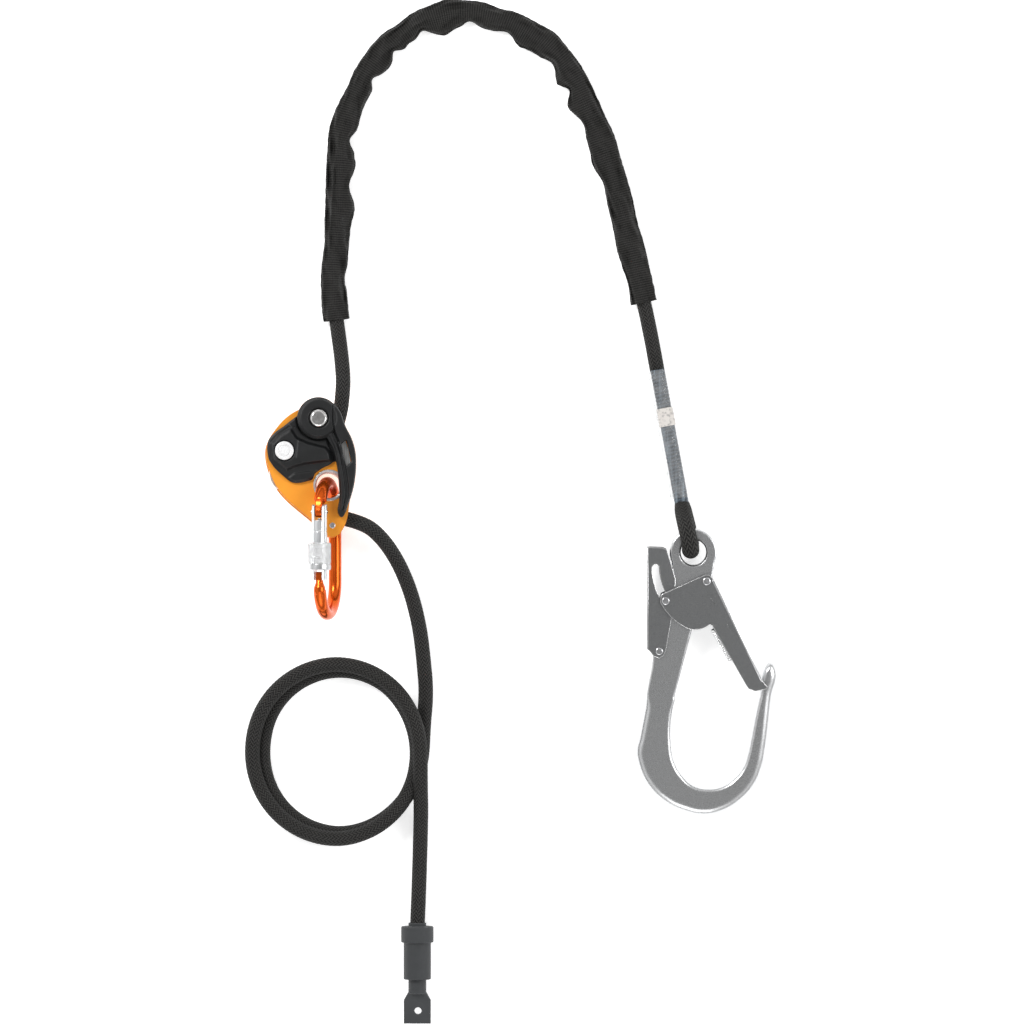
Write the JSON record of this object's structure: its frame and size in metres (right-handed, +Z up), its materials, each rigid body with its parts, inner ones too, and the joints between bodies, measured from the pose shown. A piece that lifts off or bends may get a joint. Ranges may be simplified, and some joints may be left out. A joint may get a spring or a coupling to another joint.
{
  "type": "rope grab lanyard",
  "caption": "Adjustable work-positioning rope lanyard: rope grab with release handle, screw-lock carabiner, sleeved rope, scaffold hook and rope-end stop.",
  "frame": {"origin": "on the surface that the lanyard lies on, under the middle of the grab and its carabiner", "axes": "+Z up from the surface, +Y towards the grab's top and the sleeved arc of rope, +X towards the scaffold hook"},
  "size_m": [0.4364, 0.8394, 0.0658],
  "materials": {
    "orange_anodised": "anodised, satin",
    "orange_polished": "anodised, bright polished bar",
    "black_moulded": "moulded, fine texture",
    "steel_bright": "polished",
    "steel_brushed": "brushed and streaked",
    "steel_dark": "machined",
    "gate_silver": "bright anodised",
    "sleeve_silver": "knurled, satin",
    "hook_alloy": "forged and polished",
    "hook_sheet": "zinc plated sheet, grey",
    "rope_black": "braided kernmantle",
    "webbing_black": "tubular webbing, ribbed weave",
    "rope_sewn": "sewn rope under a sheath",
    "clear_plastic": "clear heat-shrunk",
    "label_white": "matt film",
    "rubber_grey": "moulded, matt"
  },
  "bodies": {
    "root": {"front_plate": "orange_anodised", "rear_plate": "orange_anodised", "front_cover": "black_moulded", "wear_plate": "steel_brushed", "handle_axle": "steel_bright", "cam_pivot": "steel_bright", "lower_rivet": "steel_bright", "plate_spacers": "steel_dark", "eye_bushing": "steel_bright", "handle_spring": "steel_dark", "cam_spring": "steel_dark", "hook_body": "hook_alloy", "gate_pivot": "steel_bright", "lever_pivot": "steel_bright", "hook_gate_spring": "steel_dark", "lever_spring": "steel_dark", "rope_in_grab": "rope_black", "rope_upper": "rope_black", "rope_tail": "rope_black", "rope_end": "rope_black", "rope_eye": "rope_black", "rope_loop": "rope_black", "rope_protector": "webbing_black", "sewn_splice": "rope_sewn", "clear_sheath": "clear_plastic", "splice_label": "label_white", "end_stop": "rubber_grey"},
    "handle": {"handle": "black_moulded", "release_lever": "steel_dark"},
    "cam": {"cam": "steel_bright"},
    "carabiner": {"carabiner_body": "orange_polished", "gate_rivet": "steel_bright"},
    "carabiner_gate": {"carabiner_gate": "gate_silver", "gate_spring": "steel_dark", "gate_pusher": "steel_dark"},
    "screw_sleeve": {"screw_sleeve": "sleeve_silver"},
    "hook_gate": {"hook_gate": "hook_sheet", "gate_grip": "hook_sheet", "lock_pin": "steel_bright"},
    "safety_lever": {"safety_lever": "hook_sheet"}
  },
  "joints": [
    {"name": "handle_swing", "type": "hinge", "parent": "root", "child": "handle", "pos_m": [0.00559, 0.07228, 0.02595], "axis": [0.087, 0.0523, 0.9948], "range_deg": [0, 50], "stiffness_Nm_per_rad": 0.05, "springref_deg": -17.19},
    {"name": "cam_turn", "type": "hinge", "parent": "root", "child": "cam", "pos_m": [-0.02199, 0.04581, 0.02975], "axis": [0.087, 0.0523, 0.9948], "range_deg": [-12, 0]},
    {"name": "carabiner_swing", "type": "hinge", "parent": "root", "child": "carabiner", "pos_m": [0.01464, 0.0203, 0.02797], "axis": [-0.213, 0, 0.977], "range_deg": [-35, 8]},
    {"name": "carabiner_gate_open", "type": "hinge", "parent": "carabiner", "child": "carabiner_gate", "pos_m": [0.00841, -0.0033, 0.05654], "axis": [0.977, 0, 0.213], "range_deg": [0, 22], "stiffness_Nm_per_rad": 0.03, "springref_deg": -17.19},
    {"name": "sleeve_travel", "type": "slide", "parent": "carabiner_gate", "child": "screw_sleeve", "axis": [0, -1, 0], "range_m": [0, 0.01]},
    {"name": "hook_gate_open", "type": "hinge", "parent": "root", "child": "hook_gate", "pos_m": [0.3239, -0.05936, 0.01812], "axis": [0, 0.055, -0.9985], "range_deg": [0, 40], "stiffness_Nm_per_rad": 0.1, "springref_deg": -28.65},
    {"name": "safety_lever_turn", "type": "hinge", "parent": "root", "child": "safety_lever", "pos_m": [0.2853, -0.11678, 0.01496], "axis": [0, 0.055, -0.9985], "range_deg": [0, 4.8], "deforming": ["lever_spring"]}
  ],
  "couplings": [
    {"joint": "cam_turn", "follows": "handle_swing", "ratio": -0.24},
    {"joint": "safety_lever_turn", "follows": "hook_gate_open", "ratio": 0.12}
  ]
}
